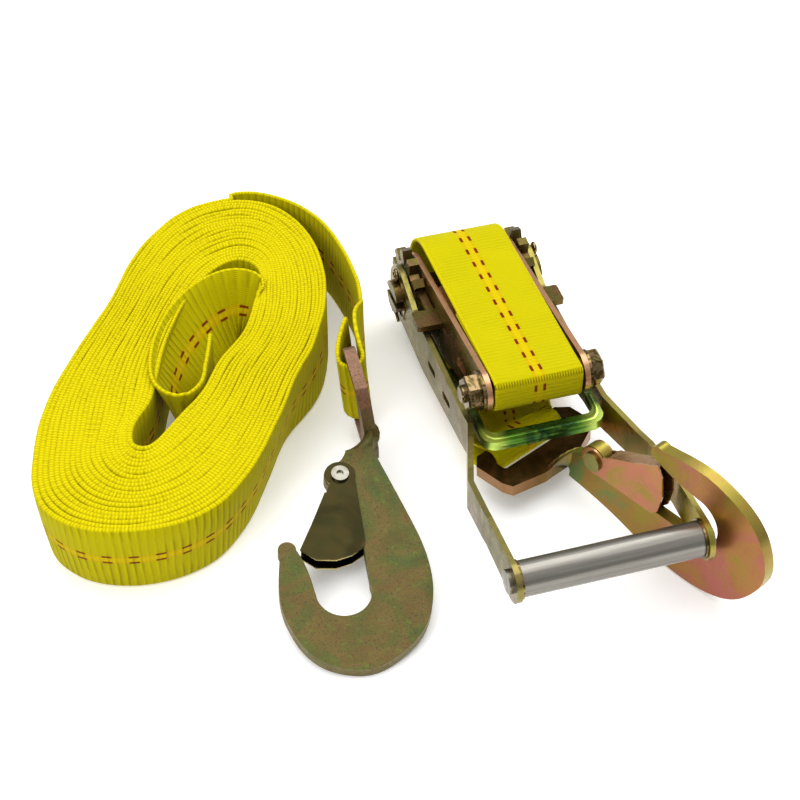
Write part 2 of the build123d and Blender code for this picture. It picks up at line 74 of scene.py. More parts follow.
# ------------------------------------------------------------------ material helpers
class Graph:
    """A material and short names for the nodes that these surfaces use."""

    def __init__(self, name):
        self.mat = bpy.data.materials.new(name)
        self.mat.use_nodes = True
        self.t = self.mat.node_tree
        self.b = self.t.nodes["Principled BSDF"]

    def new(self, kind, **kw):
        n = self.t.nodes.new(kind)
        for k, v in kw.items():
            setattr(n, k, v)
        return n

    def link(self, a, b):
        self.t.links.new(a, b)

    def put(self, sock, v):
        if isinstance(v, (int, float)):
            sock.default_value = v
        elif isinstance(v, (tuple, list)):
            sock.default_value = tuple(v) + ((1.0,) if len(v) == 3 and len(sock.default_value) == 4 else ())
        else:
            self.link(v, sock)

    def math(self, op, a, b=0.0, c=None, clamp=False):
        n = self.new("ShaderNodeMath", operation=op, use_clamp=clamp)
        self.put(n.inputs[0], a)
        self.put(n.inputs[1], b)
        if c is not None:
            self.put(n.inputs[2], c)
        return n.outputs[0]

    def times(self, a, b):
        return self.math("MULTIPLY", a, b)

    def rest(self, a):
        """1 - a."""
        return self.math("SUBTRACT", 1.0, a)

    def far(self, a, b):
        """Distance of a from b."""
        return self.math("ABSOLUTE", self.math("SUBTRACT", a, b))

    def wave(self, a, period):
        return self.math("SINE", self.times(a, 2 * math.pi / period))

    def dot(self, vec, axis):
        n = self.new("ShaderNodeVectorMath", operation="DOT_PRODUCT")
        self.link(vec, n.inputs[0])
        n.inputs[1].default_value = tuple(axis)
        return n.outputs["Value"]

    def split(self, vec):
        n = self.new("ShaderNodeSeparateXYZ")
        self.link(vec, n.inputs[0])
        return n.outputs

    def mix(self, f, a, b):
        n = self.new("ShaderNodeMix", data_type="RGBA", blend_type="MIX")
        self.put(n.inputs[0], f)
        self.put(n.inputs[6], a)
        self.put(n.inputs[7], b)
        return n.outputs[2]

    def noise(self, vec, scale, detail=3.0, rough=0.5, distort=0.0):
        n = self.new("ShaderNodeTexNoise")
        self.put(n.inputs["Scale"], scale)
        self.put(n.inputs["Detail"], detail)
        self.put(n.inputs["Roughness"], rough)
        self.put(n.inputs["Distortion"], distort)
        self.link(vec, n.inputs["Vector"])
        return n.outputs["Fac"]

    def ramp(self, fac, stops):
        n = self.new("ShaderNodeValToRGB")
        n.color_ramp.interpolation = "EASE"
        e = n.color_ramp.elements
        while len(e) < len(stops):
            e.new(0.5)
        for el, (p, c) in zip(e, stops):
            el.position = p
            el.color = (*c, 1.0)
        self.link(fac, n.inputs[0])
        return n.outputs["Color"]

    def step(self, v, lo, hi):
        n = self.new("ShaderNodeMapRange", clamp=True, interpolation_type="SMOOTHSTEP")
        self.put(n.inputs["Value"], v)
        self.put(n.inputs["From Min"], lo)
        self.put(n.inputs["From Max"], hi)
        return n.outputs[0]

    def roughen(self, v, rough, lo=0.0, hi=1.0):
        """Roughness from rough[0] to rough[1] as v goes from lo to hi."""
        n = self.new("ShaderNodeMapRange")
        self.put(n.inputs["To Min"], rough[0])
        self.put(n.inputs["To Max"], rough[1])
        self.put(n.inputs["From Min"], lo)
        self.put(n.inputs["From Max"], hi)
        self.link(v, n.inputs["Value"])
        self.link(n.outputs[0], self.b.inputs["Roughness"])

    def bump(self, height, strength, distance):
        n = self.new("ShaderNodeBump")
        self.put(n.inputs["Strength"], strength)
        self.put(n.inputs["Distance"], distance)
        self.link(height, n.inputs["Height"])
        self.link(n.outputs[0], self.b.inputs["Normal"])


def lin(r, g, b):
    """sRGB 0-255 to linear."""
    return tuple(((c / 255) / 12.92 if c <= 10 else ((c / 255 + 0.055) / 1.055) ** 2.4) for c in (r, g, b))


def tones(*stops):
    """Ramp stops from (position, r, g, b)."""
    return tuple((p, lin(*rgb)) for p, *rgb in stops)


# ------------------------------------------------------------------ webbing material
HALF_WEB = 25.0        # half the webbing's width, mm
TRACER = 2.45          # each tracer thread's distance from the middle, mm
YARN = 1.15            # spacing of the warp threads, mm
PICK = 1.9             # spacing of the selvedge's turns, mm
STITCH = 1.5           # spacing of the stitches at the fold, mm


def webbing(name, rib, rib_depth, rib_painted_shade, tint, dash=14.0, band=None, shift=0.0):
    """Woven polyester. UV: u across the strip and v along it, both in metres.

    rib is the spacing of the cross ribs and dash that of the tracers' dashes, in mm. band holds the v
    of both ends of the face folded over the bolt, in mm.
    """
    g = Graph(name)
    uv = g.new("ShaderNodeUVMap").outputs[0]
    sep = g.split(uv)
    u = g.times(sep[0], 1000.0)
    v = g.times(sep[1], 1000.0)
    # transverse ribs: a strong one and a fine one between, uneven along the strip
    uneven = g.math("MULTIPLY_ADD", g.noise(uv, 60.0, 2.0), 2.2, v)
    both = g.math("MULTIPLY_ADD", g.wave(uneven, rib / 2), 0.42, g.wave(uneven, rib))
    strong = g.math("MULTIPLY_ADD", g.step(g.noise(uv, 42.0, 2.5), 0.34, 0.66), 1.25, 0.3)
    ribs = g.math("POWER", g.math("MULTIPLY_ADD", g.times(both, strong), 0.36, 0.5, clamp=True), 0.7)
    # fine warp: narrow threads along the strip, shifted from rib to rib
    threads = g.wave(u, YARN)
    weave = g.math("MULTIPLY_ADD", g.times(threads, g.wave(v, rib / 2)), 0.5, 0.5)
    warp = g.math("MULTIPLY_ADD", threads, 0.5, 0.5)
    off = g.far(u, HALF_WEB)
    bright = lin(234 * tint, 224 * tint, 0)
    mid = lin(222 * tint, 210 * tint, 0)
    col = g.mix(g.times(weave, 0.55), mid, bright)
    # painted shade: the ribs' grooves darkened, by the factor given for them
    col = g.mix(g.times(g.rest(ribs), rib_painted_shade), col, lin(146, 132, 1))
    col = g.mix(g.times(g.step(g.noise(uv, 22.0, 3.0), 0.45, 0.75), 0.22), col, lin(206, 196, 4))
    # selvedge: tight little turns of the weft
    tick = g.math("MULTIPLY_ADD", g.wave(v, PICK), 0.5, 0.5)
    selvedge = g.mix(g.times(g.math("POWER", tick, 1.5), 0.55), lin(222, 206, 4), lin(150, 138, 2))
    col = g.mix(g.times(g.step(off, 23.3, 24.4), 0.75), col, selvedge)
    # two dashed tracer threads with a warm band between them
    col = g.mix(g.times(g.rest(g.step(off, 1.2, 2.6)), 0.26), col, lin(232, 180, 4))
    line = g.rest(g.step(g.far(off, TRACER), 0.62, 0.95))
    along = g.math("ADD", g.math("MULTIPLY_ADD", g.noise(uv, 300, 1.0), 0.8, v), shift)
    phase = g.math("FRACT", g.math("DIVIDE", along, dash))
    on = g.times(g.step(phase, 0.03, 0.09), g.rest(g.step(phase, 0.41, 0.48)))
    red = g.times(line, on)
    dash_red = lin(112, 26, 8)
    col = g.mix(g.times(g.times(line, g.rest(on)), 0.45), col, lin(196, 150, 6))
    col = g.mix(g.times(red, 0.93), col, dash_red)
    if band:
        # the face folded over the bolt: a row of stitches at its crease, and painted shade darkening the face below
        # it
        lo, hi = band
        face = g.times(g.step(v, lo - 3, lo + 3), g.rest(g.step(v, hi - 0.8, hi + 0.4)))
        col = g.mix(g.times(face, 0.5), col, lin(150, 138, 4))
        col = g.mix(g.times(red, 0.9), col, dash_red)
        row = g.rest(g.step(g.far(v, hi - 0.4), 0.9, 1.5))
        teeth = g.math("GREATER_THAN", g.wave(u, STITCH), 0.0)
        col = g.mix(g.times(g.times(row, teeth), 0.75), col, lin(104, 92, 2))
    g.link(col, g.b.inputs["Base Color"])
    height = g.math("ADD", ribs, g.times(weave, 0.22))
    height = g.math("ADD", height, g.times(warp, 0.12))
    height = g.math("ADD", height, g.times(red, 0.3))
    g.bump(height, rib_depth, 0.0006)
    g.b.inputs["Roughness"].default_value = 0.75
    g.b.inputs["Sheen Weight"].default_value = 0.02
    g.b.inputs["Sheen Roughness"].default_value = 0.5
    g.b.inputs["Sheen Tint"].default_value = (1.0, 0.98, 0.55, 1.0)
    g.b.inputs["Specular IOR Level"].default_value = 0.04
    return g.mat


# ------------------------------------------------------------------ metal materials
def plated(name, stops, scale, speck, metal, rough, grain, fine=900.0, gain=1.0, grad=(), edges=(), ends=None):
    """Chromated zinc plate: drifting tones (stops), dark and light specks, mottled gloss.

    grad: (axis, start, end, stops), other tones further along an axis (m).
    edges: (axis, painted_highlight, share, along, start), a painted highlight: a lighter colour on the faces that
    don't look along axis, and where along is given, only past start (m) in that direction.
    ends: (x, inner, outer, painted_highlight, slider_painted_shade, front), a painted highlight on the slider's two
    ends and painted shade in its middle and behind front (m).
    """
    g = Graph(name)
    tc = g.new("ShaderNodeTexCoord").outputs
    spot = tc["Object"]
    stops = [(p, tuple(c * gain for c in q)) for p, q in stops]
    big = g.noise(spot, scale, 3.5, 0.55, 0.8)
    col = g.ramp(big, stops)
    for axis, start, end, other in grad:
        at = g.math("MULTIPLY_ADD", big, (end - start) * 0.5, g.dot(spot, axis))
        quarter = (end - start) * 0.25
        col = g.mix(g.step(at, start + quarter, end + quarter), col, g.ramp(big, other))
    # painted highlight on the slider's two ends, painted shade in its middle and on its arms behind the front
    if ends:
        middle, inner, outer, painted_highlight, slider_painted_shade, front = ends
        sep = g.split(spot)
        away = g.far(sep[0], middle)
        col = g.mix(g.times(g.rest(g.step(away, inner * 0.35, inner)), 0.6), col, slider_painted_shade)
        col = g.mix(g.step(g.math("MULTIPLY_ADD", big, 0.006, away), inner, outer), col, painted_highlight)
        col = g.mix(g.times(g.step(sep[1], front, front + 0.006), 0.85), col, slider_painted_shade)
    # painted highlight: a lighter colour on the faces that don't look along axis, picked by which way each face
    # points
    for axis, painted_highlight, share, along, start in edges:
        side = g.rest(g.step(g.math("ABSOLUTE", g.dot(tc["Normal"], axis)), 0.35, 0.8))
        if along is not None:
            side = g.times(side, g.step(g.dot(spot, along), start, start + 0.006))
        col = g.mix(g.times(side, share), col, painted_highlight)
    small = g.noise(spot, fine, 2.0, 0.7)
    wide = g.noise(spot, fine * 0.31, 3.0, 0.65)
    col = g.mix(g.times(g.step(small, 0.5, 0.72), speck), col, (0.03, 0.025, 0.012))
    col = g.mix(g.times(g.step(wide, 0.56, 0.74), speck * 0.6), col, tuple(min(1.0, c * 2.2) for c in stops[0][1]))
    mottle = g.noise(spot, scale * 4.1, 4.0, 0.6)
    col = g.mix(g.times(g.step(mottle, 0.45, 0.7), 0.35), col, stops[-1][1])
    g.link(col, g.b.inputs["Base Color"])
    g.b.inputs["Metallic"].default_value = metal
    g.roughen(mottle, rough, 0.3, 0.7)
    g.bump(g.math("ADD", wide, g.times(small, 0.5)), grain, 0.0004)
    return g.mat


def brushed(name, base, stretch, rough, streak):
    """Drawn tube: long streaks along X."""
    g = Graph(name)
    spot = g.new("ShaderNodeTexCoord").outputs["Object"]
    mapping = g.new("ShaderNodeMapping")
    mapping.inputs["Scale"].default_value = stretch
    g.link(spot, mapping.inputs["Vector"])
    lines = g.noise(mapping.outputs[0], 1.0, 5.0, 0.75)
    fine = g.noise(spot, 700.0, 2.0)
    col = g.mix(g.times(g.step(lines, 0.35, 0.7), streak), base, tuple(c * 0.45 for c in base))
    col = g.mix(g.times(g.step(lines, 0.6, 0.8), streak), col, tuple(min(1, c * 1.35) for c in base))
    g.link(col, g.b.inputs["Base Color"])
    g.b.inputs["Metallic"].default_value = 0.95
    g.roughen(lines, rough)
    g.bump(g.math("ADD", lines, g.times(fine, 0.3)), 0.25, 0.0003)
    return g.mat


# ------------------------------------------------------------------ hook frames
# U runs from a hook's neck to its bowl, V across the blade; O is the blade's origin. RING and DIR are
# the right ring's own long axis and its bar's direction. BAR is the middle of the bar the strap folds round.
BAR_IN = 4.2            # from a ring's far side to the middle of its bar
LOOP = 5.5 + 1.2        # radius of the strap's centre line round a ring's bar
R_KINK = 13.0           # where the right ring dips from its blade, up the neck
yaw, dip, ring_dip = math.radians(25.0), math.radians(4.5), math.radians(10.0)
RU = unit(math.sin(yaw) * math.cos(dip), -math.cos(yaw) * math.cos(dip), -math.sin(dip))
RV = unit(math.sin(yaw) * math.sin(dip), -math.cos(yaw) * math.sin(dip), math.cos(dip))
RO = Vector((15.4, -155.5, 7.4))
R_RING = RU * math.cos(ring_dip) + RV * math.sin(ring_dip)
R_DIR = RU.cross(RV) * -1
R_BAR = RO + RV * 8.0 - RU * R_KINK + R_RING * (-49 + BAR_IN + R_KINK) - R_DIR * 2.0
R_SIDE = RU.cross(RV).normalized()
R_AT = W(RO).dot(RU)

pitch, turn, twist = math.radians(11.0), math.radians(2.5), math.radians(97.0)
LU = unit(-math.sin(turn) * math.cos(pitch), -math.cos(turn) * math.cos(pitch), -math.sin(pitch))
LV = unit(-math.cos(turn), math.sin(turn), 0)
LO = Vector((-80.5, -123, 27.5))
L_BAR = LO + LV * 8.5 + LU * (-57 + BAR_IN)
L_UP = (LV * math.cos(twist) + LU.cross(LV) * math.sin(twist)) * -1
L_SIDE = LU.cross(L_UP).normalized()
if L_SIDE.x < 0:
    L_SIDE = L_SIDE * -1
L_FACE = LU.cross(LV).normalized()
L_AT = W(LO).dot(LU)

# ------------------------------------------------------------------ materials
# painted highlights on the edge faces of the handle plates, hooks, gates and base
PLATE_EDGE_HIGHLIGHT = ((X, lin(156, 146, 88), 0.6, None, 0),)
# the ribs' grooves carry painted shade, far darker on the coil than on the flat straps
FLAT_WEB = dict(rib=2.6, rib_depth=0.45, rib_painted_shade=0.24, tint=0.825, dash=12.0)
M = {
    "web_coil": webbing("webbing_coil", rib=4.3, rib_depth=1.0, rib_painted_shade=0.78, tint=0.8),
    "web_flat": webbing("webbing_flat", **FLAT_WEB),
    "hook_left": plated(
        "hook_left_plating",
        tones((0.28, 62, 84, 24), (0.42, 86, 86, 30), (0.5, 100, 82, 34), (0.58, 84, 84, 28),
              (0.66, 66, 80, 26), (0.8, 104, 78, 42)),
        scale=26, speck=0.9, metal=0.6, rough=(0.42, 0.58), grain=0.7, fine=1000, gain=0.84,
        # painted highlights on the blade's edge faces and the ring's edge faces
        edges=((L_FACE, lin(140, 130, 78), 0.4, LU, L_AT - 0.012),
               (L_SIDE, lin(140, 104, 84), 0.7, LU * -1, 0.02 - L_AT)),
        grad=((LU * -1, 0.011 - L_AT, 0.02 - L_AT,
               tones((0.3, 96, 66, 44), (0.45, 124, 84, 62), (0.6, 70, 56, 28), (0.75, 140, 104, 84))),)),
    "hook_right": plated(
        "hook_right_plating",
        tones((0.25, 124, 124, 20), (0.42, 146, 128, 28), (0.55, 150, 116, 36), (0.68, 88, 128, 62),
              (0.85, 168, 112, 62)),
        scale=22, speck=0.14, metal=0.85, rough=(0.28, 0.42), grain=0.22, gain=0.8,
        # painted highlights on the blade's edge faces and the ring's edge faces
        edges=((R_SIDE, lin(150, 144, 58), 0.75, RU, R_AT - 0.012),
               (Z, lin(160, 118, 78), 0.8, RU * -1, 0.012 - R_AT)),
        grad=((RU, R_AT + 0.045, R_AT + 0.085,
               tones((0.3, 140, 126, 36), (0.43, 164, 112, 58), (0.55, 170, 98, 84), (0.66, 160, 112, 60),
                     (0.78, 120, 126, 40))),
              (RU * -1, 0.009 - R_AT, 0.016 - R_AT,
               tones((0.3, 84, 58, 24), (0.45, 104, 72, 36), (0.6, 72, 56, 22), (0.75, 128, 92, 58))))),
    "gate_left": plated(
        "gate_left_plating", tones((0.3, 36, 32, 14), (0.5, 50, 44, 20), (0.7, 34, 42, 20)),
        scale=26, speck=0.14, metal=0.95, rough=(0.14, 0.26), grain=0.08,
        # painted highlight on the gate's edge faces
        edges=((L_FACE, lin(206, 184, 120), 0.9, None, 0),)),
    "gate_right": plated(
        "gate_right_plating", tones((0.3, 166, 126, 62), (0.5, 172, 108, 80), (0.7, 140, 124, 36)),
        scale=30, speck=0.08, metal=0.9, rough=(0.16, 0.3), grain=0.1,
        # painted highlight on the gate's edge faces
        edges=((R_SIDE, lin(196, 158, 110), 0.7, None, 0),)),
    # the left handle plate's (and the slider spring seat's) olive plating, darkened as painted shade
    "plate": plated(
        "plate_plating", tones((0.25, 96, 90, 20), (0.45, 118, 106, 30), (0.58, 112, 88, 38), (0.75, 72, 84, 20)),
        scale=22, speck=0.14, metal=0.92, rough=(0.22, 0.38), grain=0.14, edges=PLATE_EDGE_HIGHLIGHT),
    # the same plating tinted yellow and brighter for the right handle plate: a painted reflection of the strap
    "plate_right": plated(
        "right_plate_painted_reflection",
        tones((0.25, 128, 120, 8), (0.45, 154, 138, 10), (0.58, 150, 118, 22), (0.75, 104, 114, 10)),
        scale=22, speck=0.12, metal=0.88, rough=(0.24, 0.4), grain=0.14, edges=PLATE_EDGE_HIGHLIGHT),
    "base": plated(
        "base_plating", tones((0.25, 150, 116, 66), (0.45, 132, 112, 48), (0.6, 168, 118, 84), (0.78, 96, 88, 34)),
        scale=26, speck=0.16, metal=0.92, rough=(0.22, 0.38), grain=0.16,
        # painted highlight on the base's edge faces
        edges=((X, lin(214, 160, 124), 0.8, None, 0),)),
    "drum": plated(
        "drum_plating", tones((0.25, 74, 68, 28), (0.45, 100, 88, 40), (0.6, 112, 82, 50), (0.78, 50, 56, 20)),
        scale=60, speck=0.3, metal=0.9, rough=(0.2, 0.4), grain=0.3),
    "slider": plated(
        "slider_plating", tones((0.3, 36, 84, 40), (0.46, 92, 146, 48), (0.58, 30, 72, 52), (0.74, 130, 170, 60)),
        scale=38, speck=0.06, metal=0.92, rough=(0.26, 0.36), grain=0.05,
        # painted highlight on the slider's ends, painted shade in its middle and on its arms
        ends=(ORIGIN.x / 1000, 0.022, 0.031, lin(190, 214, 100), lin(18, 40, 26), W((0, -130, 0)).y)),
    "zinc": plated(
        "bright_zinc", tones((0.3, 150, 138, 84), (0.45, 84, 70, 34), (0.55, 150, 126, 92), (0.7, 78, 74, 38)),
        scale=120, speck=0.2, metal=0.98, rough=(0.08, 0.2), grain=0.12),
    "rivet": plated(
        "bright_rivet", tones((0.3, 150, 148, 136), (0.5, 124, 120, 106), (0.7, 160, 156, 144)),
        scale=80, speck=0.08, metal=0.97, rough=(0.2, 0.34), grain=0.08),
    "rivet_green": plated(
        "green_rivet", tones((0.3, 120, 128, 70), (0.5, 140, 128, 66), (0.7, 96, 112, 56)),
        scale=80, speck=0.1, metal=0.92, rough=(0.25, 0.4), grain=0.1),
    "spring": plated(
        "spring_wire", tones((0.3, 120, 116, 100), (0.6, 96, 92, 76)),
        scale=60, speck=0.1, metal=0.95, rough=(0.25, 0.4), grain=0.1),
    "tube": brushed("drawn_tube", lin(148, 144, 136), (5.0, 260.0, 260.0), rough=(0.22, 0.42), streak=0.7),
}

# ------------------------------------------------------------------ CAD nodes that stay
# node: (material, bevel in mm)
LOOK = {
    "base_plate_left": ("base", 0.7), "base_plate_right": ("base", 0.7), "base_cross_plate": ("base", 0.6),
    "pawl_spring_seat": ("base", 0.4), "base_bolt": ("zinc", 0.35), "bolt_nut": ("zinc", 0.35),
    "bolt_washer_left": ("zinc", 0.3), "bolt_washer_right": ("zinc", 0.3), "bolt_sleeve": ("drum", 0.3),
    "base_pawl": ("drum", 0.6), "mandrel_upper": ("drum", 0.5),
    "mandrel_lower": ("drum", 0.5), "gear_left": ("drum", 0.45), "gear_right": ("drum", 0.45),
    "drum_washer_left": ("zinc", 0.15), "drum_washer_right": ("zinc", 0.15), "cotter_left": ("zinc", 0),
    "cotter_right": ("zinc", 0), "handle_plate_left": ("plate", 0.8), "handle_plate_right": ("plate_right", 0.8),
    "handle_web": ("base", 0.6), "grip_rod": ("rivet", 0.4), "grip_washer_left": ("zinc", 0.3),
    "grip_washer_right": ("zinc", 0.3), "grip_tube": ("tube", 0.4), "release_slider": ("slider", 1.6),
    "slider_spring_seat": ("plate", 0.4), "hook_right": ("hook_right", 0.9),
    "hook_left": ("hook_left", 0.9), "gate_right": ("gate_right", 0.3), "gate_left": ("gate_left", 0.3),
    "gate_rivet_right": ("rivet_green", 0.5), "gate_rivet_left": ("rivet", 0.5),
}
for name, (look, bevel) in LOOK.items():
    part = nodes[name]
    if not part.material_slots:
        part.data.materials.append(M[look])
    for s in part.material_slots:
        s.material = M[look]
    if bevel:
        m = part.modifiers.new("edge", "BEVEL")
        m.width = bevel / 1000
        m.segments = 3
        m.limit_method = "ANGLE"
        m.angle_limit = math.radians(34)


# ------------------------------------------------------------------ paths and meshes
def catmull(pts, per, closed=False):
    """Points along a smooth curve through pts (Vectors), per steps between each pair."""
    n = len(pts)
    out = []
    for i in range(n if closed else n - 1):
        p0 = pts[(i - 1) % n] if closed or i else pts[0] * 2 - pts[1]
        p1, p2 = pts[i], pts[(i + 1) % n]
        p3 = pts[(i + 2) % n] if closed or i + 2 < n else pts[-1] * 2 - pts[-2]
        for k in range(per):
            t = k / per
            out.append(0.5 * ((2 * p1) + (p2 - p0) * t + (2 * p0 - 5 * p1 + 4 * p2 - p3) * t * t
                              + (3 * p1 - p0 - 3 * p2 + p3) * t ** 3))
    if not closed:
        out.append(pts[-1].copy())
    return out


def spread(values, per, count):
    """count values, going evenly from each of values to the next in per steps, as catmull's points do."""
    last = len(values) - 1
    out = []
    for i in range(count):
        j, t = min(i // per, last), (i % per) / per
        out.append(values[j] * (1 - t) + values[min(j + 1, last)] * t)
    return out


def lengths(path):
    """Distance along the path at each of its points."""
    s = [0.0]
    for a, b in zip(path, path[1:]):
        s.append(s[-1] + (b - a).length)
    return s


def even(path, step, *extras):
    """Resamples a path at an even step; extras are lists carried along with it."""
    s = lengths(path)
    n = max(2, int(round(s[-1] / step)))
    outs = [[] for _ in range(1 + len(extras))]
    j = 0
    for i in range(n + 1):
        d = s[-1] * i / n
        while j < len(s) - 2 and s[j + 1] < d:
            j += 1
        t = (d - s[j]) / max(1e-9, s[j + 1] - s[j])
        for o, lst in zip(outs, (path,) + extras):
            o.append(lst[j] * (1 - t) + lst[j + 1] * t)
    return outs if extras else outs[0]


def heading(path, i):
    """The path's direction at point i, from its neighbours."""
    return path[min(i + 1, len(path) - 1)] - path[max(i - 1, 0)]


def tube(name, verts, sides, mat, clockwise=False):
    """A closed smooth object from rings of so many corners each; clockwise rings turn the other way
    round the path."""
    rings = len(verts) // sides
    faces = []
    for i in range(rings - 1):
        for k in range(sides):
            a, b = i * sides + k, i * sides + (k + 1) % sides
            faces.append((a, a + sides, b + sides, b) if clockwise else (a, b, b + sides, a + sides))
    caps = [tuple(range(sides)), tuple((rings - 1) * sides + k for k in range(sides))]
    flip = 1 if clockwise else 0
    caps[flip] = tuple(reversed(caps[flip]))
    me = bpy.data.meshes.new(name)
    me.from_pydata([tuple(v) for v in verts], [], faces + caps)
    me.polygons.foreach_set("use_smooth", [True] * len(me.polygons))
    me.materials.append(mat)
    me.update()
    ob = bpy.data.objects.new(name, me)
    bpy.context.collection.objects.link(ob)
    return ob


def outline(width, thick, across):
    """A strip's section with rounded edges, as (across, through) pairs."""
    r = thick / 2
    flat = width / 2 - r
    ring = []
    for face in (1, -1):
        ring += [(face * ((width - 2 * r) * k / across - flat), face * r) for k in range(across + 1)]
        for k in (1, 2, 3):
            a = face * math.pi / 2 - math.pi * k / 4
            ring.append((face * flat + r * math.cos(a), r * math.sin(a)))
    return ring


def strip(name, path, ups, width, mat, thick=2.4, across=12, ragged=0.0, seed=0.0, tuck=None, swell=None):
    """A webbing strip. path is its centre line (mm, working frame), ups the direction across it at each
    point. ragged is how far its surface wanders (mm), tuck(i, a) gives an extra shift for point i at
    distance a from the centre line, and swell has one factor on the thickness per point."""
    ring = outline(width, thick, across)
    at = lengths(path)
    verts, uvs = [], []
    for i, (p, up, s) in enumerate(zip(path, ups, at)):
        t = heading(path, i)
        up = (up - t.normalized() * up.dot(t.normalized())).normalized()
        nrm = t.cross(up).normalized()
        fat = swell[i] if swell else 1.0
        for a, b in ring:
            q = p + up * a + nrm * b * fat
            w1 = noise.noise(Vector((s * 0.045, a * 0.03, seed)))
            w2 = noise.noise(Vector((s * 0.16, a * 0.012, seed + 9)))
            q += nrm * (w1 * ragged * 0.9 + w2 * ragged * 0.45)
            edge = a / width * 2 if a > 0 else 0.15
            q += up * (noise.noise(Vector((s * 0.02, 5.5, seed))) * ragged * 0.9 * edge)
            if tuck:
                q += tuck(i, a)
            verts.append(W(q))
            uvs.append(((a + width / 2) / 1000, s / 1000))
    ob = tube(name, verts, len(ring), mat, clockwise=True)
    me = ob.data
    corner = np.zeros(len(me.loops), dtype=np.int32)
    me.loops.foreach_get("vertex_index", corner)
    me.uv_layers.new(name="UVMap").data.foreach_set("uv", np.array(uvs, dtype=np.float32)[corner].ravel())
    me.update()
    me.validate()
    ob["length_mm"] = at[-1]
    return ob


def roll(name, path, half_w, half_h, mat, sides=18, power=2.15):
    """A bar of rounded section along a level path; half_w has one value per point."""
    def bulge(c):
        return math.copysign(abs(c) ** (2 / power), c)

    verts = []
    for i, p in enumerate(path):
        out = Z.cross(heading(path, i).normalized()).normalized()
        for k in range(sides):
            a = 2 * math.pi * k / sides
            verts.append(W(p + out * half_w[i] * bulge(math.cos(a)) + Z * half_h * bulge(math.sin(a))))
    return tube(name, verts, sides, mat)


def coil_spring(name, y0, z0, length, radius, pitch, wire, mat, steps=20, sides=8):
    """A coil along Y from y0 toward -Y, centred on x = 0 and z0 (mm, working frame)."""
    n = int(length / pitch * steps)
    route = [Vector((radius * math.cos(2 * math.pi * i / steps), y0 - length * i / n,
                     z0 + radius * math.sin(2 * math.pi * i / steps))) for i in range(n + 1)]
    verts = []
    for i, p in enumerate(route):
        out = Vector((p.x, 0, p.z - z0)).normalized()
        other = heading(route, i).normalized().cross(out).normalized()
        for k in range(sides):
            a = 2 * math.pi * k / sides
            verts.append(W(p + (out * math.cos(a) + other * math.sin(a)) * wire))
    return tube(name, verts, sides, mat)


# ------------------------------------------------------------------ rolled front of the slider
PER = 6                   # steps between the points of the short routes
ROLL_Z = 35.3
arm = [(-32.1, -117, 2.5), (-32.1, -125, 2.6), (-31.6, -130, 3.2), (-29.2, -134.2, 3.9), (-24, -136, 4.3)]
bend = arm + [(0, -136, 4.3)] + [(-x, y, w) for x, y, w in reversed(arm)]
roll_path = catmull([Vector((x, y, ROLL_Z)) for x, y, w in bend], PER)
roll_half = spread([w for x, y, w in bend], PER, len(roll_path))
slider_roll = roll("slider_roll", roll_path, roll_half, 3.1, M["slider"])
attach(slider_roll, "slider")

# ------------------------------------------------------------------ coiled springs for the slider and the pawl, each at one fixed length
slider_coil = coil_spring("slider_coil_spring", -69.0, 20.8, 10.6, 3.2, 2.6, 0.6, M["spring"])
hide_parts("slider_spring")
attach(slider_coil, "handle")
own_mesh(slider_coil)
pawl_coil = coil_spring("pawl_coil_spring", -48.8, 44.75, 20.4, 3.6, 3.0, 0.65, M["spring"])
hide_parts("base_pawl_spring")
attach(pawl_coil, "base")
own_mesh(pawl_coil)

# ------------------------------------------------------------------ short strap, top and drum end
DRUM_Z, DRUM_R, TOP_Z, BOLT_Y, BOLT_Z = 31.5, 29.0, 59.3, -115.5, 55.0
STEP = 2.4                # spacing of a short strap's rings


def run_z(y):
    """Height of the straight top run, from the drum down to the bolt."""
    return TOP_Z + (BOLT_Z + 8.3 - TOP_Z) * y / BOLT_Y


def on_path(path, y, z):
    """Distance along an even path of the point nearest to (y, z)."""
    spot = Vector((0, y, z))
    return min(range(len(path)), key=lambda i: (path[i] - spot).length) * (path[1] - path[0]).length


# the sewn end under the run, the loop round the bolt's sleeve, the run, and the turn round the drum
yz = [(-58, run_z(-58) - 1.35), (-75, run_z(-75) - 1.35), (-92, run_z(-92) - 1.5), (-104, BOLT_Z - 5.6),
      (-110, BOLT_Z - 8.6)]
yz += [(BOLT_Y + a, BOLT_Z + b) for a, b in ((0, -9.6), (-5.2, -9.3), (-8.6, -7.2), (-9.7, -2.5), (-9.9, 3),
                                             (-9.8, 7.2), (-8.4, 9.5), (-5, 9.9), (0, 9.6))]
yz += [(y, run_z(y) + 1.2) for y in (-100, -80, -60, -40, -20, -6)]
yz += [(DRUM_R * math.cos(a), DRUM_Z + DRUM_R * math.sin(a))
       for a in [math.radians(90 - 180 * k / 14) for k in range(15)]]
path = even(catmull([Vector((0, y, z)) for y, z in yz], PER), STEP)
fold = (on_path(path, BOLT_Y - 8.6, BOLT_Z - 7.2), on_path(path, BOLT_Y - 8.4, BOLT_Z + 9.5))
M["web_fold"] = webbing("webbing_fold", **FLAT_WEB, band=fold, shift=3.2)
base_strap = strip("short_strap_base", path, [X] * len(path), width=49.6, mat=M["web_fold"], ragged=0.14, seed=3)
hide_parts("short_strap_top", "short_strap_wrap")
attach(base_strap, "base")

# ------------------------------------------------------------------ short strap, under the ratchet
BAR_STEPS = 10            # steps in the half turn round a ring's bar


def round_bar(bar, side, ring):
    """Points round a ring's bar, from its side toward the ring's end and back."""
    turn = [math.pi * k / BAR_STEPS for k in range(BAR_STEPS + 1)]
    return [bar + side * LOOP * math.cos(a) + ring * LOOP * math.sin(a) for a in turn]


